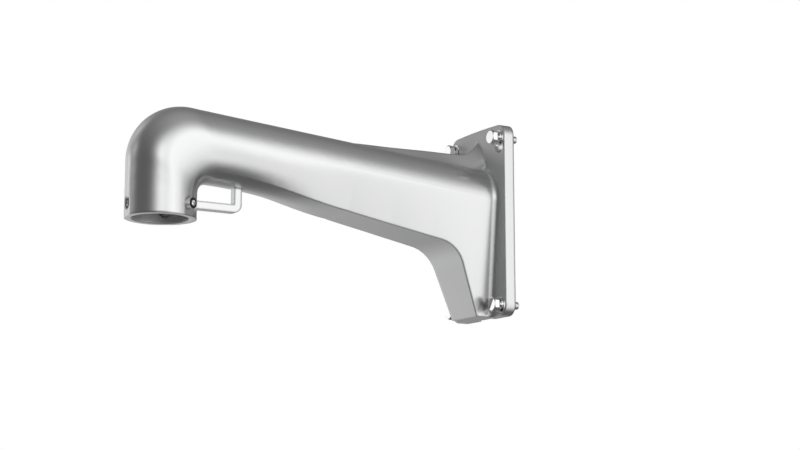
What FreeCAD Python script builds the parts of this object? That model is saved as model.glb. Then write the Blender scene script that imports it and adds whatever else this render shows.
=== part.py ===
"""Camera wall bracket: one hollow cast arm on a wall plate, with its screws, bolts and washers.

Frame in millimetres: the wall is the plane Y = 0 and the arm reaches out along -Y, Z is up, and
the origin is the centre of the four wall bolts, on the back of the plate.
"""
import FreeCAD, Part
import math
import os

import Sketcher
from FreeCAD import Placement, Rotation, Vector

# Driving dimensions
DIMENSIONS = {
    # Wall plate
    "plate_width": 98.0,
    "plate_height": 194.0,
    "plate_thickness": 11.4,
    "plate_corner_radius": 11.5,
    "plate_top_crown": 1.4,
    # Wall bolts and their holes, which stand in from the plate's edges
    "bolt_side_margin": 9.1,
    "bolt_top_margin": 13.6,
    "bolt_bottom_margin": 10.8,
    "bolt_radius": 4.0,
    "bolt_thread_radius": 3.6,
    "bolt_length": 26.0,
    "bolt_head_thickness": 5.5,
    "bolt_head_across_flats": 13.0,
    "bolt_tip_chamfer": 0.8,
    "bolt_hole_clearance": 0.5,
    "keyhole_lobe_radius": 6.4,
    "keyhole_lobe_drop": 8.3,
    "flat_washer_radius": 8.0,
    "flat_washer_thickness": 1.6,
    "spring_washer_radius": 7.2,
    "spring_washer_height": 4.4,
    "spring_washer_gap": 1.2,
    "spring_washer_gap_lean": 0.6,
    "washer_bore_clearance": 0.3,
    # Collar at the free end of the arm
    "collar_reach": 358.0,
    "collar_radius": 33.0,
    "collar_top_radius": 32.7,
    "collar_rim_drop": 24.1,
    "collar_bore_radius": 26.0,
    "collar_bore_depth": 34.0,
    "collar_bore_lead_in": 0.7,
    "collar_bore_allowance": 1.0,
    # Elbow
    "elbow_inner_radius": 12.5,
    "elbow_outer_radius": 53.0,
    # Arm
    "arm_slope": 5.0,
    "arm_axis_height_at_wall": 20.8,
    "arm_wall_radius": 36.0,
    "arm_wall_thickness": 5.0,
    "underside_half_width": 24.0,
    "underside_height_at_wall": -35.5,
    "underside_slope": 10.3,
    "underside_start": 175.0,
    "underside_lift": 0.3,
    "underside_spare": 12.6,
    "gusset_depth": 17.5,
    "gusset_front_slope": 70.0,
    "gusset_bend_radius": 34.0,
    "arm_plate_fillet": 6.0,
    # Rib on top of the arm
    "rib_reach": 165.0,
    "rib_ridge_height_at_wall": 73.7,
    "rib_ridge_slope": 1.4,
    "rib_sweep_radius": 26.0,
    "rib_sweep_bite": 2.0,
    "rib_half_width": 16.0,
    "rib_tip_half_width": 6.0,
    "rib_ridge_half_width": 0.8,
    # Hook for a safety cable
    "hook_length": 46.0,
    "hook_bar_height": 7.7,
    "hook_bar_depth": 7.2,
    "hook_bar_width": 8.6,
    "hook_underside_drop": 12.1,
    "hook_corner_radius": 7.4,
    # Collar screws and the flats that they sit on
    "screw_drop": 12.8,
    "screw_spacing_angle": 120.0,
    "screw_radius": 5.0,
    "screw_clearance": 0.1,
    "screw_backed_out": 7.0,
    "screw_socket_across_flats": 5.0,
    "screw_socket_depth": 3.0,
    "flat_width": 13.0,
    # Drain notch in the back of the plate
    "notch_width": 26.0,
    "notch_depth": 5.0,
    "notch_height": 6.0,
}

# Sizes that follow from the driving ones
DERIVED = {
    "bolt_spacing_across": "plate_width - 2 * bolt_side_margin",
    "bolt_spacing_upright": "plate_height - bolt_top_margin - bolt_bottom_margin",
    "plate_drop": "bolt_spacing_upright / 2 + bolt_bottom_margin",
    "hook_reach": "collar_reach - collar_radius - hook_length",
    "collar_cast_wall": "collar_radius - collar_bore_radius + collar_bore_allowance",
    "bolt_grip": "plate_thickness + flat_washer_thickness + spring_washer_height",
    "flat_distance": "sqrt(collar_radius ^ 2 - flat_width ^ 2 / 4)",
}

doc = FreeCAD.newDocument("camera_wall_bracket")
sheet = doc.addObject("Spreadsheet::Sheet", "dims")
FORMULAS = {alias: "=" + formula for alias, formula in DERIVED.items()}
for row, (alias, value) in enumerate({**DIMENSIONS, **FORMULAS}.items(), start=1):
    sheet.set(f"A{row}", alias.replace("_", " "))
    sheet.set(f"B{row}", str(value))
    sheet.setAlias(f"B{row}", alias)
doc.recompute()


def size(alias):
    """The value of a dimension, read back from the sheet."""
    return float(sheet.get(alias))


# The outline of the arm, as heights above the wall bolts' centre at a distance from the wall

def pivot_reach():
    """Distance from the wall of the line that the elbow bends about."""
    return size("collar_reach") - size("collar_radius") - size("elbow_inner_radius")


def arm_axis(reach):
    """Height of the centre of the arm's round top."""
    return size("arm_axis_height_at_wall") + reach * math.tan(math.radians(size("arm_slope")))


def arm_radius(reach):
    """Radius of the arm's round top, which grows evenly from the elbow to the wall."""
    growth = size("arm_wall_radius") - size("collar_top_radius")
    return size("arm_wall_radius") - growth * reach / pivot_reach()


def flat_underside(reach):
    """Height of the flat underside in front of the gusset."""
    slope = math.tan(math.radians(size("underside_slope")))
    return size("underside_height_at_wall") + reach * slope


def plate_bottom():
    """Height of the plate's bottom edge."""
    return -size("plate_drop")


def gusset_foot():
    """Distance from the wall of the gusset's front at the bottom."""
    return size("plate_thickness") + size("gusset_depth")


def wall_thickness(reach):
    """Thickness of the casting's wall, which thins from the elbow to the start of the flat."""
    start = size("underside_start")
    share = max(0.0, (reach - start) / (pivot_reach() - start))
    thin, thick = size("arm_wall_thickness"), size("collar_cast_wall")
    return thin + share * (thick - thin)


def belly_height(reach):
    """Height of the belly between the elbow, where it is round, and the start of the flat."""
    start = size("underside_start")
    span = pivot_reach() - start
    share = (reach - start) / span
    rise = (3 - 2 * share) * share ** 2
    flat = flat_underside(start) + size("underside_lift")
    low = flat + FLAT_END_SLOPE * span * share * (1 - share) ** 2
    gain = (size("elbow_inner_radius") - flat) * rise
    return low + gain - ELBOW_END_SLOPE * span * share ** 2 * (1 - share)


def arm_top(reach):
    """Height of the top of the arm."""
    return arm_axis(reach) + arm_radius(reach)


def elbow_outer(angle):
    """Distance from the elbow's pivot line to its outer surface, along an angle.

    The surface runs upright from the collar, then round, then along the top of the arm."""
    outside = size("collar_reach") + size("collar_radius")
    radius = size("elbow_outer_radius")
    centre_reach = outside - radius
    slope = (arm_top(centre_reach) - arm_top(0)) / centre_reach
    lean = math.atan(slope)
    rise = arm_top(centre_reach) - radius / math.cos(lean)
    ahead = centre_reach - pivot_reach()
    upright = (outside - pivot_reach()) / math.cos(angle)
    if upright * math.sin(angle) <= rise:
        return upright
    if angle >= math.atan2(rise + radius * math.cos(lean), ahead - radius * math.sin(lean)):
        return arm_top(pivot_reach()) / (math.sin(angle) - slope * math.cos(angle))
    along = ahead * math.cos(angle) + rise * math.sin(angle)
    return along + math.sqrt(along ** 2 - ahead ** 2 - rise ** 2 + radius ** 2)


# Cross-sections of the arm: a round top, two sides and a belly, with a corner between each
# side and the belly that is smooth on a round section and sharp on the flat underside

UP = Vector(0, 0, 1)
ROUND_CORNER = math.radians(48.6)
FLAT_END_SLOPE = 0.13
ELBOW_END_SLOPE = 0.02
SPARE_START = 0.22
QUARTER_HANDLE = 4 / 3 * math.tan(math.radians(90) / 4)
SIDE_HANDLE = 0.35
FLAT_HANDLE = 0.65
BELLY_HANDLE = 0.38


def bezier(points):
    """A smooth edge from the first to the last of four points."""
    curve = Part.BezierCurve()
    curve.setPoles(points)
    return curve.toShape()


def section(origin, outward, radius, upper, corner, side_lean, handles, belly):
    """One closed cross-section, in the plane of the X axis and a direction outward.

    The top is all but a half circle about the height upper. The sides leave it upright and reach
    the corners at a lean, with two handles that say how soon they turn and how long they run
    straight. The belly leaves the corners at an angle."""
    def place(across, up):
        return origin + Vector(across, 0, 0) + outward * up

    def side(sign):
        along = Vector(math.sin(side_lean), math.cos(side_lean), 0) * handles[1]
        return bezier([
            place(sign * radius, upper),
            place(sign * radius, upper - handles[0]),
            place(sign * (corner[0] + along.x), corner[1] + along.y),
            place(sign * corner[0], corner[1]),
        ])

    def top(sign):
        handle = QUARTER_HANDLE * radius
        return bezier([
            place(sign * radius, upper),
            place(sign * radius, upper + handle),
            place(sign * handle, upper + radius),
            place(0, upper + radius),
        ])

    inset = BELLY_HANDLE * 2 * corner[0]
    sunk = corner[1] - inset * math.sin(belly)
    shoulder = corner[0] - inset * math.cos(belly)
    bottom = bezier([place(corner[0], corner[1]), place(shoulder, sunk),
                     place(-shoulder, sunk), place(-corner[0], corner[1])])
    return Part.Wire([side(1), bottom, side(-1), top(-1), top(1)])


def round_section(origin, outward, radius, upper, lower):
    """A cross-section of the collar or elbow: two half circles, apart by upper - lower."""
    corner = (radius * math.cos(ROUND_CORNER), lower - radius * math.sin(ROUND_CORNER))
    handle = SIDE_HANDLE * math.hypot(radius - corner[0], upper - corner[1])
    belly = math.radians(90) - ROUND_CORNER
    return section(origin, outward, radius, upper, corner, ROUND_CORNER, (handle, handle), belly)


def tangent_lean(radius, upper, corner):
    """Lean from the upright of the side that runs straight from the round top to a corner."""
    across, down = corner[0], upper - corner[1]
    return math.atan2(down, across) - math.acos(radius / math.hypot(across, down))


def side_lean(reach):
    """Lean of the arm's straight sides, from the start of the flat to the foot of the gusset."""
    start, foot = size("underside_start"), gusset_foot()
    leans = [tangent_lean(arm_radius(at), arm_axis(at), (size("underside_half_width"), level))
             for at, level in ((start, flat_underside(start)), (foot, plate_bottom()))]
    share = max(0.0, (reach - foot) / (start - foot))
    return leans[1] + share * (leans[0] - leans[1])


def round_arm_section(reach, inner):
    """A cross-section that turns from round at the elbow to flat at the start of the flat."""
    inset = wall_thickness(reach) if inner else 0.0
    radius = arm_radius(reach) - inset
    upper = arm_axis(reach)
    start = size("underside_start")
    share = (pivot_reach() - reach) / (pivot_reach() - start)
    flatness = share ** 2 * (3 - 2 * share)
    half_width = size("underside_half_width") - inset
    level = belly_height(reach) + inset
    flat_lean = tangent_lean(radius, upper, (half_width, level))
    lean = ROUND_CORNER + flatness * (flat_lean - ROUND_CORNER)
    belly = (1 - flatness) * (math.radians(90) - ROUND_CORNER)
    width = flatness * half_width + (1 - flatness) * radius * math.cos(ROUND_CORNER)
    height = level + 0.75 * BELLY_HANDLE * 2 * width * math.sin(belly)
    chord = math.hypot(radius - width, upper - height)
    handles = [(1 - flatness) * SIDE_HANDLE * chord + flatness * flat
               for flat in (radius * math.tan(flat_lean / 2), FLAT_HANDLE * chord)]
    return section(Vector(0, -reach, 0), UP, radius, upper, (width, height), lean, handles, belly)


def deep_arm_section(reach, inner):
    """A cross-section whose straight sides run on below the underside, which is cut later."""
    inset = wall_thickness(reach) if inner else 0.0
    radius = arm_radius(reach) - inset
    upper = arm_axis(reach)
    lean = side_lean(reach)
    share = (size("underside_start") - reach) / (size("underside_start") - gusset_foot())
    deepest = flat_underside(gusset_foot()) - plate_bottom() + size("underside_spare")
    spare = deepest * share * (SPARE_START + (1 - SPARE_START) * share)
    level = flat_underside(reach) + inset + size("underside_lift") - spare
    width = radius / math.cos(lean) - (upper - level) * math.tan(lean)
    chord = math.hypot(radius - width, upper - level)
    handles = (radius * math.tan(lean / 2), FLAT_HANDLE * chord)
    return section(Vector(0, -reach, 0), UP, radius, upper, (width, level), lean, handles, 0.0)


LOFT_DEGREE = 3
ELBOW_ANGLES = (0, 2, 5, 10, 18, 26, 36, 48, 60, 70, 78, 84, 88)
ROUND_STATIONS = (0.84, 0.63, 0.41, 0.21)
DEEP_STATIONS = (0.69, 0.38, 0.11)


def between(near, far, shares):
    """Places between a near and a far one, at shares of the way."""
    return [near + share * (far - near) for share in shares]


def arm_form(name, inner, wall_end):
    """The arm from the collar's rim round the elbow to the wall plate, as four lofts end to end.

    It is the outside, or the hollow inside the casting's wall, which runs straight between
    its stations."""
    inset = size("collar_cast_wall") if inner else 0.0
    pivot = Vector(0, -pivot_reach(), 0)
    outward = Vector(0, -1, 0)
    ahead = size("collar_reach") + size("collar_radius") - pivot_reach() - inset
    behind = size("elbow_inner_radius") + inset
    rim = size("collar_radius") - inset
    throat = size("collar_top_radius") - inset
    low = pivot - UP * size("collar_rim_drop")
    collar = [round_section(low, outward, rim, ahead - rim, behind + rim)]
    elbow = []
    for degrees in ELBOW_ANGLES:
        angle = math.radians(degrees)
        outward = Vector(0, -math.cos(angle), math.sin(angle))
        upper = elbow_outer(angle) - size("collar_top_radius")
        lower = size("elbow_inner_radius") + size("collar_top_radius")
        elbow.append(round_section(pivot, outward, throat, max(upper, lower), lower))
    collar.append(elbow[0])
    elbow.append(round_arm_section(pivot_reach(), inner))
    start = size("underside_start")
    rounded = between(start, pivot_reach(), ROUND_STATIONS)
    deep = [start] + between(gusset_foot(), start, DEEP_STATIONS) + [wall_end]
    deep_part = [deep_arm_section(reach, inner) for reach in deep]
    round_part = [elbow[-1]] + [round_arm_section(reach, inner) for reach in rounded]
    round_part.append(deep_part[0])
    lofts = [Part.makeLoft(collar, True, True), Part.makeLoft(deep_part, True, True)]
    lofts += [Part.makeLoft(stations, True, inner, False, LOFT_DEGREE) for stations in (elbow, round_part)]
    feature = doc.addObject("Part::Feature", name)
    feature.Shape = lofts[0].fuse(lofts[1:])
    return feature


# Helpers for the pieces that are made from sketches

def new_body(label):
    """An empty piece with its own origin planes."""
    body = doc.addObject("PartDesign::Body", label)
    body.Label = label
    return body


def origin_plane(body, role):
    """One of a piece's own origin planes, by its role."""
    return next(item for item in body.Origin.OriginFeatures if item.Role == role)


def new_sketch(body, name, role, base=(0, 0, 0), turn=0.0):
    """A sketch on one of the piece's origin planes, moved and turned within it."""
    sketch = body.newObject("Sketcher::SketchObject", name)
    sketch.AttachmentSupport = [(origin_plane(body, role), "")]
    sketch.MapMode = "FlatFace"
    sketch.AttachmentOffset = Placement(Vector(*base), Rotation(Vector(0, 1, 0), turn))
    return sketch


def dimension(sketch, name, expression, *constraint):
    """A named sketch dimension that follows an expression on the sheet."""
    index = sketch.addConstraint(Sketcher.Constraint(*constraint))
    sketch.renameConstraint(index, name)
    sketch.setExpression(".Constraints." + name, expression)


def bind(item, **expressions):
    """Tie properties of a feature to expressions on the sheet."""
    for path, expression in expressions.items():
        item.setExpression(path.replace("__", "."), expression)


def circle(sketch, name, radius, centre=(0.0, 0.0), at=None):
    """A circle with a bound radius, on the sketch's origin or at two bound distances from it."""
    index = sketch.addGeometry(Part.Circle(Vector(*centre, 0), Vector(0, 0, 1), evaluate(radius)))
    dimension(sketch, name + "_radius", radius, "Radius", index, evaluate(radius))
    if at is None:
        sketch.addConstraint(Sketcher.Constraint("Coincident", index, 3, -1, 1))
        return index
    for axis, expression, value in zip("XY", at, centre):
        dimension(sketch, f"{name}_{axis.lower()}", expression,
                  "Distance" + axis, -1, 1, index, 3, value)
    return index


def polygon(sketch, corners):
    """A closed outline of straight lines whose corners are bound to pairs of expressions."""
    points = [Vector(*(evaluate(text) for text in corner), 0) for corner in corners]
    count = len(points)
    for index, point in enumerate(points):
        sketch.addGeometry(Part.LineSegment(point, points[(index + 1) % count]))
    for index in range(count):
        sketch.addConstraint(Sketcher.Constraint("Coincident", index, 2, (index + 1) % count, 1))
    for index, corner in enumerate(corners):
        for axis, text, value in zip("XY", corner, points[index]):
            if close(value, 0):
                kind = "Vertical" if axis == "X" else "Horizontal"
                sketch.addConstraint(Sketcher.Constraint(kind, -1, 1, index, 1))
            else:
                dimension(sketch, f"corner{index}_{axis.lower()}", text, "Distance" + axis,
                          -1, 1, index, 1, value)


def evaluate(expression):
    """The value of an expression on the sheet."""
    value = sheet.evalExpression(expression.replace("dims.", ""))
    return float(getattr(value, "Value", value))


def pad(body, sketch, name, length, both_ways=False, backwards=False):
    """Material added on a sketch's outline."""
    feature = body.newObject("PartDesign::Pad", name)
    feature.Profile = sketch
    feature.setExpression("Length", length)
    if both_ways:
        feature.SideType = "Symmetric"
    feature.Reversed = backwards
    return feature


def pocket(body, sketch, name, length, both_ways=False, backwards=False):
    """Material taken away on a sketch's outline."""
    feature = body.newObject("PartDesign::Pocket", name)
    feature.Profile = sketch
    feature.setExpression("Length", length)
    if both_ways:
        feature.SideType = "Symmetric"
    feature.Reversed = backwards
    return feature


def faces_edges(shape, keep):
    """The names of a shape's edges that a test picks."""
    return [f"Edge{number}" for number, edge in enumerate(shape.Edges, start=1) if keep(edge)]


def dress(body, kind, name, base, keep, expression):
    """A fillet or chamfer on the edges of a feature that a test picks."""
    doc.recompute()
    feature = body.newObject("PartDesign::" + kind, name)
    feature.Base = (base, faces_edges(base.Shape, keep))
    feature.setExpression("Radius" if kind == "Fillet" else "Size", expression)
    return feature


TOLERANCE = 0.01


def close(first, second):
    """Whether two lengths are the same."""
    return abs(first - second) < TOLERANCE


def spans(edge, axis, low, high):
    """Whether an edge lies between two places along an axis."""
    box = edge.BoundBox
    lowest, highest = getattr(box, axis + "Min"), getattr(box, axis + "Max")
    return lowest > low - TOLERANCE and highest < high + TOLERANCE


# The casting: arm, gusset, wall plate, top rib and hook in one piece

def cut_underside(body, name, inset):
    """Cut a form's spare depth away along the flat underside and the front of the gusset."""
    sketch = new_sketch(body, name + "_profile", "YZ_Plane")
    flat = math.tan(math.radians(size("underside_slope")))
    steep = math.tan(math.radians(size("gusset_front_slope")))
    start = (-size("underside_start"), flat_underside(size("underside_start")) + inset)
    front = gusset_foot() - inset / math.sin(math.radians(size("gusset_front_slope")))
    foot = (-front, plate_bottom() + inset)
    level = size("underside_height_at_wall") + inset
    meet_reach = (foot[1] - front * steep - level) / (flat - steep)
    meet = Vector(-meet_reach, level + meet_reach * flat, 0)
    radius = size("gusset_bend_radius") - inset
    turn = math.radians(size("gusset_front_slope") - size("underside_slope"))
    run = radius * math.tan(turn / 2)
    before = (meet - Vector(*start, 0)).normalize()
    after = (Vector(*foot, 0) - meet).normalize()
    corners = [meet - before * run, meet + after * run]
    middle = meet + (after - before).normalize() * (radius / math.cos(turn / 2) - radius)
    low = plate_bottom() - size("plate_height") / 2
    behind = 2 * size("plate_thickness")
    outline = [Vector(*start, 0), corners[0], corners[1], Vector(*foot, 0),
               Vector(behind, foot[1], 0), Vector(behind, low, 0), Vector(start[0], low, 0)]
    sketch.addGeometry(Part.LineSegment(outline[0], outline[1]))
    sketch.addGeometry(Part.Arc(outline[1], middle, outline[2]))
    for first, second in zip(outline[2:], outline[3:] + outline[:1]):
        sketch.addGeometry(Part.LineSegment(first, second))
    doc.recompute()
    return pocket(body, sketch, name, "2 * dims.plate_width", both_ways=True)


def plate_outline(body):
    """The wall plate's outline, with a crowned top edge."""
    sketch = new_sketch(body, "plate_outline", "XZ_Plane")
    half, top = size("plate_width") / 2, plate_bottom() + size("plate_height")
    corner = [Vector(half, top, 0), Vector(-half, top, 0),
              Vector(-half, plate_bottom(), 0), Vector(half, plate_bottom(), 0)]
    crown = Vector(0, top + size("plate_top_crown"), 0)
    sketch.addGeometry(Part.Arc(corner[0], crown, corner[1]))
    for first, second in ((1, 2), (2, 3), (3, 0)):
        sketch.addGeometry(Part.LineSegment(corner[first], corner[second]))
    for first, second in ((0, 1), (1, 2), (2, 3)):
        sketch.addConstraint(Sketcher.Constraint("Coincident", first, 2, second, 1))
    sketch.addConstraint(Sketcher.Constraint("Coincident", 3, 2, 0, 1))
    sketch.addConstraint(Sketcher.Constraint("Vertical", 1))
    sketch.addConstraint(Sketcher.Constraint("Vertical", 3))
    sketch.addConstraint(Sketcher.Constraint("Horizontal", 0, 1, 0, 2))
    sketch.addConstraint(Sketcher.Constraint("Symmetric", 2, 1, 2, 2, -2))
    dimension(sketch, "width", "dims.plate_width", "DistanceX", 2, 1, 2, 2, 2 * half)
    dimension(sketch, "height", "dims.plate_height", "DistanceY", 3, 1, 3, 2, size("plate_height"))
    dimension(sketch, "bottom", "dims.plate_drop", "DistanceY", 2, 1, -1, 1, -plate_bottom())
    crown_radius = "(dims.plate_width ^ 2 / dims.plate_top_crown / 4 + dims.plate_top_crown) / 2"
    dimension(sketch, "crown", crown_radius, "Radius", 0, evaluate(crown_radius))
    return sketch


# How far the two handles of the rib's hollow side stand out and stand off its ridge and base, as
# shares of its half width and height: out on the arm, and how much more at the plate
RIB_UPPER_OUT = (0.25, 0.25)
RIB_UPPER_DOWN = (0.30, -0.12)
RIB_LOWER_OUT = (0.55, 0.45)
RIB_LOWER_UP = (0.18, 0.27)
RIB_SINK = 3.0
RIB_STATIONS = (1.0, 0.72, 0.45, 0.25)
SWEEP_STATIONS = (1.0, 0.68, 0.4, 0.2, 0.0)


def rib_section(reach):
    """A cross-section of the top rib, rounded at the plate and hollow-sided further out."""
    plate_face = size("plate_thickness")
    sweep = size("rib_sweep_radius")
    sweep_start = plate_face - size("rib_sweep_bite") + sweep
    fall = math.tan(math.radians(size("rib_ridge_slope")))
    ridge = size("rib_ridge_height_at_wall") - reach * fall
    if reach < sweep_start:
        ahead = min(sweep_start - reach, sweep)
        ridge = ridge + sweep - math.sqrt(sweep ** 2 - ahead ** 2)
    way = (reach - plate_face) / (size("rib_reach") - plate_face)
    grown = math.sin(math.radians(90) * (1 - way))
    narrow, wide = size("rib_tip_half_width"), size("rib_half_width")
    half = narrow + (wide - narrow) * grown
    base = arm_axis(reach) + math.sqrt(arm_radius(reach) ** 2 - half ** 2) - RIB_SINK
    full = max(0.0, 1 - (reach - plate_face) / (sweep_start - plate_face))
    tip = size("rib_ridge_half_width")
    tall = ridge - base
    upper_out, upper_down, lower_out, lower_up = [
        slight + more * full
        for slight, more in (RIB_UPPER_OUT, RIB_UPPER_DOWN, RIB_LOWER_OUT, RIB_LOWER_UP)]
    first = (tip + half * upper_out, ridge - tall * upper_down)
    second = (half * lower_out, base + tall * lower_up)
    points = [(tip, ridge), first, second, (half, base)]
    right = [Vector(across, -reach, up) for across, up in points]
    left = [Vector(-across, -reach, up) for across, up in points]
    return Part.Wire([
        bezier(right),
        Part.LineSegment(right[3], left[3]).toShape(),
        bezier(left[::-1]),
        Part.LineSegment(left[0], right[0]).toShape(),
    ])


def rib_form(name):
    """The rib as one loft along its ridge, from its tip on the arm to inside the plate."""
    plate_face = size("plate_thickness")
    sweep = size("rib_sweep_radius") - size("rib_sweep_bite")
    reaches = between(plate_face + sweep, size("rib_reach"), RIB_STATIONS)
    reaches += between(plate_face, plate_face + sweep, SWEEP_STATIONS)
    feature = doc.addObject("Part::Feature", name)
    out_to_face = Part.makeLoft([rib_section(reach) for reach in reaches], True, False)
    root = rib_section(plate_face)
    inside = Part.Face(root).extrude(Vector(0, plate_face / 2, 0))
    feature.Shape = out_to_face.fuse(inside).removeSplitter()
    return feature


def join(body, name, kind, other):
    """Another form added to or cut from a piece."""
    feature = body.newObject("PartDesign::Boolean", name)
    feature.Type = kind
    feature.setObjects([other])
    return feature


EDGE_MARGIN = 1.0


def on_plate_face(edge):
    """Whether an edge is where the arm meets the front of the plate."""
    half = size("plate_width") / 2
    face = -size("plate_thickness")
    across = spans(edge, "X", EDGE_MARGIN - half, half - EDGE_MARGIN)
    return across and spans(edge, "Y", face, face) and edge.BoundBox.ZLength > EDGE_MARGIN


casting = new_body("bracket_body")
casting.BaseFeature = arm_form("arm_outside", False, size("plate_thickness") / 2)
doc.recompute()
gusset = cut_underside(casting, "underside", 0.0)
plate = pad(casting, plate_outline(casting), "wall_plate", "dims.plate_thickness")
plate_corners = dress(
    casting, "Fillet", "plate_corners", plate,
    lambda edge: close(edge.Length, size("plate_thickness")) and close(edge.BoundBox.YMax, 0)
    and abs(edge.BoundBox.XMax) > size("plate_width") / 2 - EDGE_MARGIN,
    "dims.plate_corner_radius")
arm_root = dress(casting, "Fillet", "arm_root", plate_corners, on_plate_face, "dims.arm_plate_fillet")

rib = new_body("rib")
rib.BaseFeature = rib_form("rib_outside")
doc.recompute()
with_rib = join(casting, "with_rib", "Fuse", rib)
doc.recompute()

# The hook for a safety cable: a bar from the collar that turns up into the arm
hook_sketch = new_sketch(casting, "hook_outline", "YZ_Plane")
HOOK_ROOT = "-dims.collar_reach + dims.collar_radius - dims.arm_wall_thickness / 2"
HOOK_TOP = "dims.elbow_inner_radius + dims.arm_wall_thickness / 2"
HOOK_INSIDE = "-dims.hook_reach - dims.hook_bar_depth"
HOOK_BAR_TOP = "dims.hook_bar_height - dims.hook_underside_drop"
polygon(hook_sketch, [
    (HOOK_ROOT, "-dims.hook_underside_drop"), ("-dims.hook_reach", "-dims.hook_underside_drop"),
    ("-dims.hook_reach", HOOK_TOP), (HOOK_INSIDE, HOOK_TOP),
    (HOOK_INSIDE, HOOK_BAR_TOP), (HOOK_ROOT, HOOK_BAR_TOP),
])
hook = pad(casting, hook_sketch, "hook", "dims.hook_bar_width", both_ways=True)


def hook_corner(edge):
    """Whether an edge is the outer corner that the hook turns round."""
    box = edge.BoundBox
    return (close(box.YMin, -size("hook_reach")) and close(box.YMax, box.YMin)
            and close(box.ZMax, -size("hook_underside_drop")) and close(box.ZMin, box.ZMax))


hook_bend = dress(casting, "Fillet", "hook_bend", hook, hook_corner, "dims.hook_corner_radius")

# The hollow through the arm, open at the collar and at the back of the plate
core = new_body("hollow")
core.BaseFeature = arm_form("arm_inside", True, -size("plate_thickness"))
doc.recompute()
cut_underside(core, "inside_floor", size("arm_wall_thickness"))
doc.recompute()
hollowed = join(casting, "hollowed", "Cut", core)
doc.recompute()

# The collar: its bore, and three screws on flats that run out at the rim
bore_sketch = new_sketch(casting, "bore_outline", "XY_Plane")
bind(bore_sketch, AttachmentOffset__Base__y="-dims.collar_reach",
     AttachmentOffset__Base__z="-dims.collar_rim_drop")
circle(bore_sketch, "bore", "dims.collar_bore_radius")
bore = pocket(casting, bore_sketch, "collar_bore", "dims.collar_bore_depth", backwards=True)


def bore_rim(edge):
    """Whether an edge is the mouth of the collar's bore."""
    box = edge.BoundBox
    return close(box.ZMax, -size("collar_rim_drop")) and close(box.XMax, size("collar_bore_radius"))


lead_in = dress(casting, "Chamfer", "bore_lead_in", bore, bore_rim, "dims.collar_bore_lead_in")

SCREW_TURNS = {"front": 0, "right": 1, "left": -1}


def collar_sketch(body, name, turn):
    """A sketch on one of the collar's flats, with its origin on the screw's axis."""
    sketch = new_sketch(body, name, "XZ_Plane", turn=turn * size("screw_spacing_angle"))
    angle = f"({turn} * dims.screw_spacing_angle)"
    bind(sketch,
         AttachmentOffset__Base__x=f"dims.flat_distance * sin({angle})",
         AttachmentOffset__Base__y="-dims.screw_drop",
         AttachmentOffset__Base__z=f"dims.collar_reach + dims.flat_distance * cos({angle})")
    return sketch


def flat_outline(sketch):
    """An arch about the screw, open below the collar's rim."""
    half, low = size("flat_width") / 2, -size("collar_rim_drop")
    sketch.addGeometry(Part.ArcOfCircle(Part.Circle(Vector(), Vector(0, 0, 1), half), 0, math.pi))
    corners = [Vector(-half, 0, 0), Vector(-half, low, 0), Vector(half, low, 0), Vector(half, 0, 0)]
    for first, second in zip(corners, corners[1:]):
        sketch.addGeometry(Part.LineSegment(first, second))
    for first, second in ((0, 1), (1, 2), (2, 3)):
        sketch.addConstraint(Sketcher.Constraint("Coincident", first, 2, second, 1))
    sketch.addConstraint(Sketcher.Constraint("Coincident", 3, 2, 0, 1))
    sketch.addConstraint(Sketcher.Constraint("Coincident", 0, 3, -1, 1))
    sketch.addConstraint(Sketcher.Constraint("Horizontal", 0, 1, 0, 3))
    sketch.addConstraint(Sketcher.Constraint("Horizontal", 0, 2, 0, 3))
    sketch.addConstraint(Sketcher.Constraint("Vertical", 1))
    sketch.addConstraint(Sketcher.Constraint("Vertical", 3))
    sketch.addConstraint(Sketcher.Constraint("Horizontal", 2))
    dimension(sketch, "half_width", "dims.flat_width / 2", "Radius", 0, half)
    dimension(sketch, "run_out", "dims.collar_rim_drop", "DistanceY", 1, 2, -1, 1, -low)


for side, turn in SCREW_TURNS.items():
    flat_sketch = collar_sketch(casting, f"flat_{side}_outline", turn)
    flat_outline(flat_sketch)
    pocket(casting, flat_sketch, f"flat_{side}", "dims.flat_width", backwards=True)
    hole_sketch = collar_sketch(casting, f"screw_hole_{side}_outline", turn)
    circle(hole_sketch, "hole", "dims.screw_radius + dims.screw_clearance")
    pocket(casting, hole_sketch, f"screw_hole_{side}", "dims.flat_width")

# The wall plate: four bolt holes, a wider lobe under the top two, and a drain notch
PLATE_CORNERS = {
    "top_right": (1, 1), "top_left": (-1, 1), "bottom_right": (1, -1), "bottom_left": (-1, -1)}


def plate_holes(name, radius, places):
    """Round holes through the plate, at pairs of distances from the middle of the bolts."""
    sketch = new_sketch(casting, name + "_outline", "XZ_Plane")
    bind(sketch, AttachmentOffset__Base__z="dims.plate_thickness")
    for number, place in enumerate(places):
        centre = tuple(evaluate(text) for text in place)
        circle(sketch, f"{name}{number}", radius, centre, place)
    return pocket(casting, sketch, name, "dims.plate_thickness")


def bolt_place(across, upright, drop="0"):
    """Where a wall bolt is, as expressions, or a place below it."""
    return (f"{across} * dims.bolt_spacing_across / 2",
            f"{upright} * dims.bolt_spacing_upright / 2 - {drop}")


plate_holes("bolt_hole", "dims.bolt_radius + dims.bolt_hole_clearance",
            [bolt_place(*corner) for corner in PLATE_CORNERS.values()])
plate_holes("keyhole_lobe", "dims.keyhole_lobe_radius",
            [bolt_place(*corner, "dims.keyhole_lobe_drop")
             for corner in PLATE_CORNERS.values() if corner[1] > 0])

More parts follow.
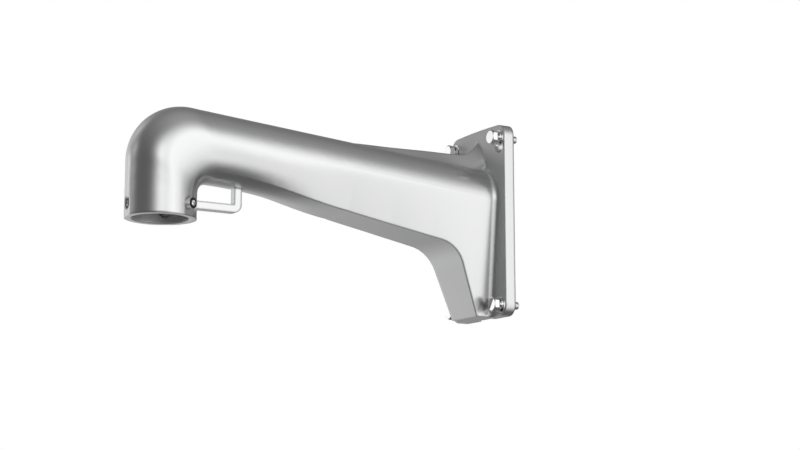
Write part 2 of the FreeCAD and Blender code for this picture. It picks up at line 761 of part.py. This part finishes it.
notch_sketch = new_sketch(casting, "notch_outline", "XZ_Plane")
NOTCH_FLOOR = "-dims.plate_drop - dims.notch_height"
NOTCH_ROOF = "-dims.plate_drop + dims.notch_height"
polygon(notch_sketch, [
    ("-dims.notch_width / 2", NOTCH_FLOOR), ("dims.notch_width / 2", NOTCH_FLOOR),
    ("dims.notch_width / 2", NOTCH_ROOF), ("-dims.notch_width / 2", NOTCH_ROOF),
])
pocket(casting, notch_sketch, "drain_notch", "dims.notch_depth", backwards=True)
doc.recompute()


# Fasteners

def hexagon(sketch, across_flats):
    """A hexagon about the sketch's origin, with two corners up and down."""
    radius = evaluate(across_flats) / math.sqrt(3)
    turns = [math.radians(360) * corner / 6 for corner in range(6)]
    points = [Vector(radius * math.sin(turn), radius * math.cos(turn), 0) for turn in turns]
    for first, second in zip(points, points[1:] + points[:1]):
        sketch.addGeometry(Part.LineSegment(first, second))
    rim = sketch.addGeometry(Part.Circle(Vector(), Vector(0, 0, 1), radius), True)
    for index in range(6):
        sketch.addConstraint(Sketcher.Constraint("Coincident", index, 2, (index + 1) % 6, 1))
    sketch.addConstraint(Sketcher.Constraint("Coincident", rim, 3, -1, 1))
    dimension(sketch, "corner_radius", f"({across_flats}) / sqrt(3)", "Radius", rim, radius)
    for index in range(6):
        sketch.addConstraint(Sketcher.Constraint("PointOnObject", index, 1, rim))
    for index in range(1, 6):
        sketch.addConstraint(Sketcher.Constraint("Equal", 0, index))
    sketch.addConstraint(Sketcher.Constraint("PointOnObject", 0, 1, -2))


def wall_bolt(corner):
    """A hexagon bolt with the seat of its head at its origin and its shank along +Y.

    The thread behind the plate is a plain cylinder at its pitch radius."""
    body = new_body("plate_bolt_" + corner)
    head_sketch = new_sketch(body, "head_outline", "XZ_Plane")
    hexagon(head_sketch, "dims.bolt_head_across_flats")
    pad(body, head_sketch, "head", "dims.bolt_head_thickness")
    shank_sketch = new_sketch(body, "shank_outline", "XZ_Plane")
    circle(shank_sketch, "shank", "dims.bolt_radius")
    pad(body, shank_sketch, "shank", "dims.bolt_grip", backwards=True)
    thread_sketch = new_sketch(body, "thread_outline", "XZ_Plane")
    circle(thread_sketch, "thread", "dims.bolt_thread_radius")
    thread = pad(body, thread_sketch, "thread", "dims.bolt_length", backwards=True)
    return dress(body, "Chamfer", "tip", thread,
                 lambda edge: close(edge.BoundBox.YMin, size("bolt_length")), "dims.bolt_tip_chamfer")


def flat_washer(corner):
    """A flat washer, from its origin on the plate's side towards -Y."""
    body = new_body("flat_washer_" + corner)
    sketch = new_sketch(body, "washer_outline", "XZ_Plane")
    circle(sketch, "rim", "dims.flat_washer_radius")
    circle(sketch, "bore", "dims.bolt_radius + dims.washer_bore_clearance")
    return pad(body, sketch, "washer", "dims.flat_washer_thickness")


def spring_washer(corner):
    """A split spring washer, pressed flat, with its gap towards the top."""
    body = new_body("spring_washer_" + corner)
    sketch = new_sketch(body, "washer_outline", "XZ_Plane")
    circle(sketch, "rim", "dims.spring_washer_radius")
    circle(sketch, "bore", "dims.bolt_radius + dims.washer_bore_clearance")
    pad(body, sketch, "ring", "dims.spring_washer_height")
    gap = new_sketch(body, "gap_outline", "XZ_Plane")
    polygon(gap, [
        ("-dims.spring_washer_gap - dims.spring_washer_gap_lean", "0"),
        ("-dims.spring_washer_gap_lean", "0"),
        ("dims.spring_washer_gap + dims.spring_washer_gap_lean", "dims.spring_washer_radius + 1"),
        ("dims.spring_washer_gap_lean", "dims.spring_washer_radius + 1"),
    ])
    return pocket(body, gap, "gap", "dims.spring_washer_height", backwards=True)


for corner, (across, upright) in PLATE_CORNERS.items():
    bolt_x, bolt_z = bolt_place(across, upright)
    wall_bolt(corner)
    flat_washer(corner)
    spring_washer(corner)
    seats = {
        "flat_washer_": "-dims.plate_thickness",
        "spring_washer_": "-dims.bolt_grip + dims.spring_washer_height",
        "plate_bolt_": "-dims.bolt_grip",
    }
    for kind, seat in seats.items():
        piece = doc.getObject(kind + corner)
        piece.setExpression("Placement.Base.x", bolt_x)
        piece.setExpression("Placement.Base.y", seat)
        piece.setExpression("Placement.Base.z", bolt_z)


def collar_screw(side, turn):
    """A socket set screw through the collar's wall, its tip clear of the bore."""
    body = new_body("collar_screw_" + side)
    out = "dims.screw_backed_out" if side == "right" else "0"
    wall = f"(dims.flat_distance - dims.collar_bore_radius - dims.screw_clearance)"
    outer_sketch = collar_sketch(body, "screw_outline", turn)
    angle = f"({turn} * dims.screw_spacing_angle)"
    bind(outer_sketch,
         AttachmentOffset__Base__x=f"(dims.flat_distance + {out}) * sin({angle})",
         AttachmentOffset__Base__z=f"dims.collar_reach + (dims.flat_distance + {out}) * cos({angle})")
    circle(outer_sketch, "screw", "dims.screw_radius")
    shank = pad(body, outer_sketch, "screw", f"{wall} + {out}", backwards=True)
    socket_sketch = collar_sketch(body, "socket_outline", turn)
    bind(socket_sketch,
         AttachmentOffset__Base__x=f"(dims.flat_distance + {out}) * sin({angle})",
         AttachmentOffset__Base__z=f"dims.collar_reach + (dims.flat_distance + {out}) * cos({angle})")
    hexagon(socket_sketch, "dims.screw_socket_across_flats")
    return pocket(body, socket_sketch, "socket", "dims.screw_socket_depth")


for side, turn in SCREW_TURNS.items():
    collar_screw(side, turn)

doc.recompute()

# Check every object, then write each piece

HELPERS = ("rib", "hollow")
bodies = [item for item in doc.Objects if item.TypeId == "PartDesign::Body"]
pieces = [body for body in bodies if body.Label not in HELPERS]
for item in doc.Objects:
    if {"Invalid", "Error"} & set(item.State):
        raise RuntimeError(f"{item.Label} did not build: {item.State}")
for piece in pieces:
    if piece.Shape.isNull() or not piece.Shape.isValid() or len(piece.Shape.Solids) != 1:
        raise RuntimeError(f"{piece.Label} is not one sound solid")
if not close(min(vertex.Z for vertex in casting.Shape.Vertexes), plate_bottom()):
    raise RuntimeError("the arm reaches below the plate, so its underside was not cut")

os.makedirs("parts", exist_ok=True)
for piece in pieces:
    piece.Shape.exportStep(f"parts/{piece.Label}.step")
    print(piece.Label, round(piece.Shape.Volume / 1000, 2), "cm3")
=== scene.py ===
# %% [markdown]
# A wall bracket for a camera: one hollow casting in aluminium, four bolts with their washers and
# three set screws, seen from the right, in front and a little below.
#
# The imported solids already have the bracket's true shape, so this script gives them their
# finishes, replaces the plain bolts, spring washers and screws by pieces with threads, chamfers
# and sockets, and puts a camera, a floor and soft light round them.

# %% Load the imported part
import math

import bmesh
import bpy
from mathutils import Matrix, Vector


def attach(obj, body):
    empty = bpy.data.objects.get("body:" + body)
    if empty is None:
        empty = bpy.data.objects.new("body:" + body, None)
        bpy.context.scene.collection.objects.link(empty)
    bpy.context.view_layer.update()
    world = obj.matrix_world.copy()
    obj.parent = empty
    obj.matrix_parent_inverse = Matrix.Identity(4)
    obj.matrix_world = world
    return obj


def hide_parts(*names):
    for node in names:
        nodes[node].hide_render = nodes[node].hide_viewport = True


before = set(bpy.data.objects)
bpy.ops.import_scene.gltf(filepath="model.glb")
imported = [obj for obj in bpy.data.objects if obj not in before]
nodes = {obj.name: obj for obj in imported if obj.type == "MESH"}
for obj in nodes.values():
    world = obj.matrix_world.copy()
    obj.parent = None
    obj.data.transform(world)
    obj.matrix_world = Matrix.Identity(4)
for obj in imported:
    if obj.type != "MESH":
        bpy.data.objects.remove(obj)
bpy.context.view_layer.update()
scene = bpy.context.scene
MM = 0.001
print("pieces in the frame:", len(nodes))

# %% [markdown]
# Shader sums could be drawn node by node, but they read better as sums. Socket wraps one output
# of a node, and each of Python's operators on it adds a Math node. Tree holds the nodes of a
# material or of the world, and its add method makes any other node.

# %% Shader sums in Python


class Socket:
    """One shader value, with Python's operators."""

    def __init__(self, tree, output):
        self.tree, self.output = tree, output

    def math(self, operation, *others):
        return self.tree.add("ShaderNodeMath", {"operation": operation}, (self, *others))

    def __add__(self, other):
        return self.math("ADD", other)

    __radd__ = __add__

    def __mul__(self, other):
        return self.math("MULTIPLY", other)

    __rmul__ = __mul__

    def __sub__(self, other):
        return self.math("SUBTRACT", other)

    def __rsub__(self, other):
        return self * -1 + other

    def above(self, other):
        """1 where the value is above other, and 0 elsewhere."""
        return self.math("GREATER_THAN", other)

    def step(self, low, high):
        """0 below low, 1 above high and smooth between."""
        settings = {"interpolation_type": "SMOOTHSTEP"}
        return self.tree.add("ShaderNodeMapRange", settings, (self, low, high))


class Tree:
    """The nodes of a material or of the world."""

    def __init__(self, tree):
        self.tree = tree

    def add(self, kind, settings, inputs=(), output=0):
        """A node: its settings, then its inputs as values or links."""
        node = self.tree.nodes.new(kind)
        for name, value in settings.items():
            setattr(node, name, value)
        named = inputs.items() if isinstance(inputs, dict) else enumerate(inputs)
        for key, value in named:
            if isinstance(value, Socket):
                self.tree.links.new(value.output, node.inputs[key])
            else:
                node.inputs[key].default_value = value
        return Socket(self, node.outputs[output])

    def dot(self, one, two):
        """How far two directions agree, from -1 to 1."""
        settings = {"operation": "DOT_PRODUCT"}
        return self.add("ShaderNodeVectorMath", settings, (one, two), output="Value")

    def part(self, vector, axis):
        """One axis of a vector."""
        return self.add("ShaderNodeSeparateXYZ", {}, (vector,), output=axis)

    def mix(self, share, one, two):
        """A colour between two, by a share from 0 to 1; 0, 6 and 7 are the colour sockets."""
        values = {0: share, 6: one, 7: two}
        return self.add("ShaderNodeMix", {"data_type": "RGBA"}, values, output=2)

    def ray(self, kind):
        """1 for rays of one kind, such as camera rays."""
        return self.add("ShaderNodeLightPath", {}, output=f"Is {kind} Ray")

    def surface(self, shader):
        """Make a shader the one that shows."""
        ends = [node for node in self.tree.nodes if node.bl_idname.startswith("ShaderNodeOutput")]
        self.tree.links.new(shader.output, ends[0].inputs["Surface"])


class Finish(Tree):
    """A material with one Principled surface."""

    def __init__(self, name):
        self.material = bpy.data.materials.new(name)
        self.material.use_nodes = True
        super().__init__(self.material.node_tree)
        self.principled = self.tree.nodes["Principled BSDF"]

    def set(self, name, value):
        socket = self.principled.inputs[name]
        if isinstance(value, Socket):
            self.tree.links.new(value.output, socket)
        else:
            socket.default_value = value

    def place(self):
        """The point on the surface in the part's own frame, in metres."""
        return self.add("ShaderNodeTexCoord", {}, output="Object")

    def noise(self, scale, detail):
        values = {"Vector": self.place(), "Scale": scale, "Detail": detail}
        return self.add("ShaderNodeTexNoise", {}, values)

    def rounded(self, radius):
        """The surface's direction, as if its edges had this radius in millimetres."""
        return self.add("ShaderNodeBevel", {"samples": 6}, {"Radius": radius * MM})

    def bump(self, height, distance, strength, normal):
        """Small relief on a direction; the distance is in millimetres."""
        values = {"Height": height, "Distance": distance * MM, "Strength": strength}
        return self.add("ShaderNodeBump", {}, {**values, "Normal": normal})


print("shader helpers ready")

# %% [markdown]
# The casting is satin aluminium. Such brackets are commonly shot-blasted and then polished on the
# arm, so its shine is broad there, and it is made rougher on the front of the plate and in the
# bored collar. One roughness all over would look like paint, so a fine grain and a slow cloud vary
# it. Polishing rounds the edges by a few millimetres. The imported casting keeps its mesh, so the
# Bevel node rounds them in the shading, and the metal is worn a little smoother there.

# %% Satin aluminium
GRAIN_SCALE, CLOUD_SCALE = 900, 14
EDGE_RADIUS = 3.0
PLATE_FRONT, BORE_AXIS, BORE_RADIUS, BORE_TOP = -14, -358, 26.4, 18
BASE_ROUGHNESS, BY_GRAIN, BY_CLOUD = 0.21, 0.03, 0.04
BY_BLASTING, BY_BORING, BY_WEAR = 0.34, 0.35, 0.05
DULL_ALUMINIUM, CLEAN_ALUMINIUM = (0.80, 0.81, 0.805, 1), (0.87, 0.88, 0.872, 1)

cast = Finish("satin_cast_aluminium")
grain, cloud = cast.noise(GRAIN_SCALE, 3), cast.noise(CLOUD_SCALE, 2)
edge = cast.rounded(EDGE_RADIUS)
facing = cast.add("ShaderNodeNewGeometry", {}, output="Normal")
worn = (1 - cast.dot(edge, facing)).step(0.02, 0.15)
x, y, z = (cast.part(cast.place(), axis) for axis in "XYZ")
blasted = (cast.part(facing, "Y") * -1).step(0.90, 0.98) * y.above(PLATE_FRONT * MM)
along = y - BORE_AXIS * MM
outside_bore = (x * x + along * along).above((BORE_RADIUS * MM) ** 2)
bored = (1 - outside_bore) * (1 - z.above(BORE_TOP * MM))
roughness = BASE_ROUGHNESS + BY_GRAIN * grain + BY_CLOUD * cloud
roughness = roughness + BY_BLASTING * blasted + BY_BORING * bored - BY_WEAR * worn
cast.set("Metallic", 1.0)
cast.set("Base Color", cast.mix(cloud, DULL_ALUMINIUM, CLEAN_ALUMINIUM))
cast.set("Roughness", roughness)
cast.set("Normal", cast.bump(grain, 0.03, 0.08, edge))
print("finish:", cast.material.name)

# %% [markdown]
# The bolts and washers are bright steel, with faint marks from turning. The set screws are bright
# steel too, and the ring on each screw's end is painted shade: dark, a little glossy and slightly
# mottled, for the dark ring that shows round the socket.

# %% Bright steel, and painted shade on the screw ends
bright = Finish("bright_steel")
marks = bright.noise(1500, 2)
bright.set("Metallic", 1.0)
bright.set("Base Color", bright.mix(marks, (0.93, 0.93, 0.925, 1), (0.98, 0.98, 0.975, 1)))
bright.set("Roughness", 0.04 + 0.04 * marks)
bright.set("Normal", bright.bump(marks, 0.01, 0.2, bright.rounded(0.3)))

# Painted shade: a very dark colour for the ring round each screw's socket, with a slight random
# mottle.
painted_shade_black = Finish("black_steel")
end_mottle = painted_shade_black.noise(1200, 2)
painted_shade_black.set("Base Color", painted_shade_black.mix(end_mottle, (0.008, 0.008, 0.009, 1), (0.020, 0.019, 0.018, 1)))
painted_shade_black.set("Roughness", 0.30 + 0.12 * end_mottle)
painted_shade_black.set("Normal", painted_shade_black.bump(end_mottle, 0.02, 0.2, painted_shade_black.rounded(0.2)))
print("finishes:", bright.material.name, painted_shade_black.material.name)

# %% [markdown]
# Each imported piece has one metal, so it gets one material, chosen by the first word of its name.
# The plain bolts, spring washers and screws get theirs too, though richer pieces replace them.

# %% Put the finishes on the imported pieces
# The hidden plain collar screws take the painted-shade colour too.
FINISH_OF = {"bracket": cast, "plate": bright, "spring": bright, "flat": bright, "collar": painted_shade_black}
for name, node in nodes.items():
    node.data.materials.clear()
    node.data.materials.append(FINISH_OF[name.split("_")[0]].material)
print("pieces with a finish:", len(nodes))

# %% [markdown]
# Bolts, washers and screws are turned parts. A turned part could be a stack of cylinders, but a
# profile spun about its axis gives every step and chamfer at once. A thread and a spring washer
# are both a section wound along a helix, which the same spin makes when it also climbs.

# %% Turned and wound forms
SIDES = 72
Z_AXIS, ORIGIN = (0, 0, 1), (0, 0, 0)
RIDGE_FOOT, RIDGE_TOP, RIDGE_SINK = 0.44, 0.08, 0.15


def turned(mesh, profile):
    """Spins (radius, height) points about Z; they start and end on the axis."""
    points = [mesh.verts.new((radius * MM, 0, height * MM)) for radius, height in profile]
    line = [mesh.edges.new(pair) for pair in zip(points, points[1:])]
    bmesh.ops.spin(mesh, geom=points + line, cent=ORIGIN, axis=Z_AXIS, angle=math.tau,
                   steps=SIDES, use_merge=True)
    bmesh.ops.remove_doubles(mesh, verts=mesh.verts[:], dist=0.001 * MM)


def wound(mesh, section, pitch, turns, steps=48):
    """Winds a closed section of (radius, height) corners along a helix about Z."""
    corners = [mesh.verts.new((radius * MM, 0, height * MM)) for radius, height in section]
    face = mesh.faces.new(corners)
    bmesh.ops.spin(mesh, geom=corners + face.edges[:] + [face], cent=ORIGIN, axis=Z_AXIS,
                   dvec=(0, 0, pitch * MM / steps), angle=math.tau * turns,
                   steps=round(steps * turns))


def thread(mesh, root, crest, pitch, low, high):
    """A ridge that winds from one height to another and sinks a little into its core."""
    foot, top = RIDGE_FOOT * pitch, RIDGE_TOP * pitch
    middle, sunk = low + foot, root - RIDGE_SINK
    section = [(sunk, middle - foot), (crest, middle - top), (crest, middle + top),
               (sunk, middle + foot)]
    wound(mesh, section, pitch, (high - low - 2 * foot) / pitch)


print("forms: turned, wound, thread")

# %% [markdown]
# A finished mesh needs faces that point outward. Recalculating them makes neighbours agree, but it
# can leave a thin form inside out. Core, thread and head are separate closed forms in one mesh, so
# each is walked face by face and then turned by the sign of its volume.

# %% From mesh to piece
SHARP = math.radians(20)


def closed_forms(mesh):
    """The closed forms of a mesh, each as a list of its faces, in the mesh's own order."""
    seen, forms = set(), []
    for first in mesh.faces:
        if first in seen:
            continue
        seen.add(first)
        form = [first]
        for face in form:
            for near in (other for side in face.edges for other in side.link_faces):
                if near not in seen:
                    seen.add(near)
                    form.append(near)
        forms.append(form)
    return forms


def face_outward(mesh):
    """Turns each closed form's faces outward, which is where its signed volume is above 0."""
    for form in closed_forms(mesh):
        bmesh.ops.recalc_face_normals(mesh, faces=form)
        volume = sum(face.calc_center_median().dot(face.normal) * face.calc_area()
                     for face in form)
        if volume < 0:
            bmesh.ops.reverse_faces(mesh, faces=form)


def finish_piece(mesh, name, place, finishes, replaced):
    """Puts a mesh in its place as a piece; only its sharp edges stay sharp."""
    mesh.transform(place)
    mesh.normal_update()
    face_outward(mesh)
    data = bpy.data.meshes.new(name)
    mesh.to_mesh(data)
    mesh.free()
    for finish in finishes:
        data.materials.append(finish.material)
    data.shade_smooth()
    data.set_sharp_from_angle(angle=SHARP)
    piece = bpy.data.objects.new(name, data)
    scene.collection.objects.link(piece)
    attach(piece, "root")
    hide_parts(replaced)


print("sharp above", round(math.degrees(SHARP)), "degrees")

# %% [markdown]
# A hexagon head starts as a six-sided prism. The real head is turned at its ends, which leaves a
# cone that cuts the corners. A bevel would follow the six edges instead, so planes round the axis
# cut the prism, each closed by a new face.

# %% Hexagon head
CUTS = 24
CHAMFER = math.radians(30)
CORNER = 1 / math.cos(math.pi / 6)


def hexagon_head(mesh, across, low, high, low_radius, high_radius):
    """A prism with two flats upright, each end cut by a cone from its own radius outwards."""
    made = bmesh.ops.create_circle(mesh, cap_ends=True, segments=6,
                                   radius=across / 2 * CORNER * MM)
    bmesh.ops.translate(mesh, verts=made["verts"], vec=(0, 0, low * MM))
    raised = bmesh.ops.extrude_face_region(mesh, geom=mesh.faces[:])["geom"]
    top = [item for item in raised if isinstance(item, bmesh.types.BMVert)]
    bmesh.ops.translate(mesh, verts=top, vec=(0, 0, (high - low) * MM))
    for height, side, flat_radius in ((high, 1, high_radius), (low, -1, low_radius)):
        for index in range(CUTS):
            angle = math.tau * index / CUTS
            out = Vector((math.cos(angle), math.sin(angle), 0))
            slope = out * math.sin(CHAMFER) + Vector(Z_AXIS) * side * math.cos(CHAMFER)
            start = (out * flat_radius + Vector((0, 0, height))) * MM
            everything = mesh.verts[:] + mesh.edges[:] + mesh.faces[:]
            bmesh.ops.bisect_plane(mesh, geom=everything, plane_co=start, plane_no=slope,
                                   clear_outer=True)
            rim = [item for item in mesh.edges if item.is_boundary]
            bmesh.ops.holes_fill(mesh, edges=rim, sides=0)


print("cuts round each end of a head:", CUTS)

# %% [markdown]
# A wall bolt lies along the wall's normal, with its head in front of the plate and its thread
# behind it. Between them the shank is hidden in the plate. Head, core and thread could be joined
# by a Boolean, but three closed forms in one mesh look the same and can't fail.

# %% Wall bolts
OUT_OF_WALL = Matrix.Rotation(math.radians(90), 4, "X")
BOLT_PLACES = {
    "top_right": (39.9, 84.8), "top_left": (-39.9, 84.8),
    "bottom_right": (39.9, -84.8), "bottom_left": (-39.9, -84.8),
}
HEAD_LOW, HEAD_HIGH, HEAD_ACROSS = 17.4, 22.9, 13
LOW_CUT, HIGH_CUT = 7.1, 6.25
SEAT_RADIUS, SEAT_HEIGHT = 5.9, 0.2
THREAD_ROOT, THREAD_CREST, THREAD_PITCH = 3.4, 4.0, 1.25
BOLT_END, BOLT_POINT, POINT_RADIUS = -8.6, 0.5, 2.9
RUN_OUT, THREAD_STOP = -0.3, -0.1


def wall_bolt():
    mesh = bmesh.new()
    seat_top = HEAD_LOW + 2 * SEAT_HEIGHT
    hexagon_head(mesh, HEAD_ACROSS, HEAD_LOW + SEAT_HEIGHT, HEAD_HIGH, LOW_CUT, HIGH_CUT)
    turned(mesh, [(0, BOLT_END), (POINT_RADIUS, BOLT_END), (THREAD_ROOT, BOLT_END + BOLT_POINT),
                  (THREAD_ROOT, RUN_OUT), (THREAD_CREST, 0), (THREAD_CREST, HEAD_LOW),
                  (SEAT_RADIUS, HEAD_LOW), (SEAT_RADIUS, seat_top), (0, seat_top)])
    thread(mesh, THREAD_ROOT, THREAD_CREST, THREAD_PITCH, BOLT_END + BOLT_POINT, THREAD_STOP)
    return mesh


for name, (x, z) in BOLT_PLACES.items():
    place = Matrix.Translation((x * MM, 0, z * MM)) @ OUT_OF_WALL
    mesh = wall_bolt()
    print("bolt", name, "has", len(mesh.faces), "faces")
    finish_piece(mesh, "bolt_" + name, place, [bright], "plate_bolt_" + name)

# %% [markdown]
# A spring washer is a square coil of nearly one turn. Its ends stand apart by its own thickness
# until the bolt is tight, and the cut shows as a short dark line. A ring with a slot would have
# level ends, so the section is wound instead. The cuts face away from the arm on both sides.

# %% Spring washers
COIL_INNER, COIL_OUTER, COIL_LOW, COIL_THICK, COIL_TURNS = 4.2, 7.2, 13.0, 2.2, 0.94
COIL_START_RIGHT, COIL_START_LEFT = math.radians(-9.2), math.radians(210.8)
COIL_STEPS = 64
square = [(COIL_INNER, COIL_LOW), (COIL_OUTER, COIL_LOW), (COIL_OUTER, COIL_LOW + COIL_THICK),
          (COIL_INNER, COIL_LOW + COIL_THICK)]
for name, (x, z) in BOLT_PLACES.items():
    turn = Matrix.Rotation(COIL_START_RIGHT if x > 0 else COIL_START_LEFT, 4, "Z")
    place = Matrix.Translation((x * MM, 0, z * MM)) @ OUT_OF_WALL @ turn
    mesh = bmesh.new()
    wound(mesh, square, COIL_THICK / COIL_TURNS, COIL_TURNS, COIL_STEPS)
    finish_piece(mesh, "spring_" + name, place, [bright], "spring_washer_" + name)
print("spring washers:", len(BOLT_PLACES))

# %% [markdown]
# A collar screw has no head. Its end is a ring painted very dark, as painted shade, round a bright
# hexagon socket, and the right one stands out of its hole. A ring with a six-sided hole isn't a
# turned form, so a circle and a hexagon are bridged, and their edges are pushed back step by step
# into chamfer, body and socket.

# %% Collar screws
SCREW_Z, SCREW_TIP, SCREW_RADIUS, SCREW_ROOT, SCREW_PITCH = -12.8, 26.1, 5.0, 4.2, 1.5
SOCKET_ACROSS, SOCKET_DEPTH, END_RADIUS, CHAMFERED, BAND = 5.0, 3.0, 4.6, 0.5, 0.3
TIP_CHAMFER = 0.3
SCREWS = {"front": (0, 32.35), "right": (120, 37.4), "left": (-120, 32.35)}


def pushed(mesh, loop, back, radius=None):
    """Extrudes a loop of edges, moves it back and gives it a new radius."""
    made = bmesh.ops.extrude_edge_only(mesh, edges=loop)["geom"]
    points = [item for item in made if isinstance(item, bmesh.types.BMVert)]
    if radius:
        grow = radius * MM / max(point.co.xy.length for point in points)
        bmesh.ops.scale(mesh, verts=points, vec=(grow, grow, 1))
    bmesh.ops.translate(mesh, verts=points, vec=(0, 0, -back * MM))
    edges = [item for item in made if isinstance(item, bmesh.types.BMEdge)]
    return [item for item in edges if item.is_boundary]


def ring_of_edges(mesh, sides, radius):
    """A circle's edges, in the mesh's own order."""
    points = set(bmesh.ops.create_circle(mesh, segments=sides, radius=radius * MM)["verts"])
    return [edge for edge in mesh.edges if edge.verts[0] in points]


def set_screw(length):
    """A screw whose end lies at height 0, its tip at -length."""
    mesh = bmesh.new()
    rim = ring_of_edges(mesh, SIDES, END_RADIUS)
    socket = ring_of_edges(mesh, 6, SOCKET_ACROSS / 2 * CORNER)
    bmesh.ops.bridge_loops(mesh, edges=rim + socket)
    rim = pushed(mesh, rim, CHAMFERED, SCREW_RADIUS)
    rim = pushed(mesh, rim, BAND)
    # End ring, chamfer and band get the painted shade: a very dark colour for the dark ring round
    # the socket.
    painted_shade_faces = set(mesh.faces)
    socket_floor = pushed(mesh, socket, SOCKET_DEPTH)
    bmesh.ops.holes_fill(mesh, edges=socket_floor, sides=0)
    rim = pushed(mesh, rim, 0, SCREW_ROOT)
    rim = pushed(mesh, rim, length - CHAMFERED - BAND - TIP_CHAMFER)
    rim = pushed(mesh, rim, TIP_CHAMFER, SCREW_ROOT - TIP_CHAMFER)
    bmesh.ops.holes_fill(mesh, edges=rim, sides=0)
    thread(mesh, SCREW_ROOT, SCREW_RADIUS, SCREW_PITCH, TIP_CHAMFER - length, -CHAMFERED - BAND)
    # The painted-shade faces take the second material; all others stay bright steel.
    for face in mesh.faces:
        face.material_index = int(face in painted_shade_faces)
    return mesh


for name, (turn, end) in SCREWS.items():
    outward = Matrix.Rotation(math.radians(turn), 4, "Z") @ OUT_OF_WALL
    axis = Matrix.Translation((0, BORE_AXIS * MM, SCREW_Z * MM))
    place = axis @ outward @ Matrix.Translation((0, 0, end * MM))
    mesh = set_screw(end - SCREW_TIP)
    print("screw", name, "has", len(mesh.faces), "faces")
    finish_piece(mesh, "screw_" + name, place, [bright, painted_shade_black],
                 "collar_screw_" + name)

# %% [markdown]
# The camera stands to the right of the arm, in front of it and a little below, and looks up. Its
# lens is long, so the arm's edges stay nearly parallel. It could be aimed by eye, but these values
# were fitted to the photograph's straight edges and bolt pattern.

# %% Camera
AZIMUTH, ELEVATION = math.radians(59.433), math.radians(10.186)
EYE = Vector((1338.426, -894.781, -285.933)) * MM
SENSOR, FOCAL_PIXELS, PICTURE_WIDTH = 36, 1590.1, 800
right = Vector((math.cos(AZIMUTH), math.sin(AZIMUTH), 0))
back = Vector((math.sin(AZIMUTH) * math.cos(ELEVATION),
               -math.cos(AZIMUTH) * math.cos(ELEVATION), -math.sin(ELEVATION)))
up = back.cross(right)
view = bpy.data.cameras.new("view")
view.sensor_width = SENSOR
view.lens = SENSOR * FOCAL_PIXELS / PICTURE_WIDTH
view.clip_start, view.clip_end = 0.05, 60
camera = bpy.data.objects.new("camera", view)
camera.matrix_world = Matrix.Translation(EYE) @ Matrix((right, up, back)).transposed().to_4x4()
scene.collection.objects.link(camera)
scene.camera = camera
print("camera at", [round(value, 3) for value in EYE], "lens", round(view.lens, 2))

# %% [markdown]
# Satin metal shows little of its own colour and much of the room, so the room's soft lights make
# its shading. Area lamps would leave hard-edged shapes on it. Here each light is a broad glow in
# one direction of the world: large ones to the right and left, faint ones above and behind.
# The camera sees the room as plain white. The metal sees that white only straight behind the
# bracket, because white all round would take the place of the lights in it.

# %% Room
# Azimuth, elevation, tightness and brightness; azimuth 0 is to the right, 90 is into the wall
SOFT_LIGHTS = [(16, 16, 9.2, 0.96), (-23, 16, 20.0, 0.90), (184, -3, 6.3, 0.75),
               (19, 74, 3.5, 0.20), (208, 38, 37.3, 0.33), (46, -8, 7.8, 0.58),
               (22, -32, 18.0, 0.60), (-123, 20, 60.0, 0.36), (-147, 10, 180.0, 0.75),
               (-158, -18, 14.0, 0.11)]
ROOM_LEVEL = 0.104
BACKDROP_FADE = (math.cos(math.radians(11)), math.cos(math.radians(5)))
WHITE = (1, 1, 1, 1)

world = bpy.data.worlds.new("room")
scene.world = world
world.use_nodes = True
room = Tree(world.node_tree)
direction = room.add("ShaderNodeTexCoord", {}, output="Generated")
level = ROOM_LEVEL
for azimuth, elevation, tightness, brightness in SOFT_LIGHTS:
    a, e = math.radians(azimuth), math.radians(elevation)
    toward = (math.cos(a) * math.cos(e), math.sin(a) * math.cos(e), math.sin(e))
    glow = (room.dot(direction, toward) * tightness - tightness).math("EXPONENT")
    level = level + glow * brightness
grey = room.add("ShaderNodeCombineColor", {}, (level, level, level))
lights = room.add("ShaderNodeBackground", {}, {"Color": grey})
white = room.add("ShaderNodeBackground", {}, {"Color": WHITE})
behind = room.dot(direction, tuple(-back)).step(*BACKDROP_FADE)
shine = (room.ray("Glossy") + room.ray("Transmission")) * behind
seen_white = room.ray("Camera") + shine
room.surface(room.add("ShaderNodeMixShader", {}, (seen_white, lights, white)))
print("soft lights:", len(SOFT_LIGHTS))

# %% [markdown]
# The floor is pale paper, well below, as a bracket like this hangs high on a wall. The camera sees
# it a little lighter than its light would make it, and the soft shadow stays on it.

# %% Floor
FLOOR, HALF, PALE, LIGHTENED = -1.5, 14, 0.8, 0.7
paper = Finish("pale_floor")
plain = paper.add("ShaderNodeBsdfDiffuse", {}, {"Color": (PALE, PALE, PALE, 1)})
glow = paper.add("ShaderNodeEmission", {}, {"Color": WHITE, "Strength": 1.0})
lighter = paper.ray("Camera") * LIGHTENED
paper.surface(paper.add("ShaderNodeMixShader", {}, (lighter, plain, glow)))
mesh = bmesh.new()
bmesh.ops.create_grid(mesh, x_segments=1, y_segments=1, size=HALF)
bmesh.ops.translate(mesh, verts=mesh.verts[:], vec=(0, 0, FLOOR))
data = bpy.data.meshes.new("floor")
mesh.to_mesh(data)
mesh.free()
data.materials.append(paper.material)
floor = bpy.data.objects.new("floor", data)
scene.collection.objects.link(floor)
floor.visible_glossy = False
print("floor at", FLOOR)

# %% [markdown]
# Blender's other view transforms would grey the whites, so Standard shows colours as written.

# %% Finish
scene.view_settings.view_transform = "Standard"
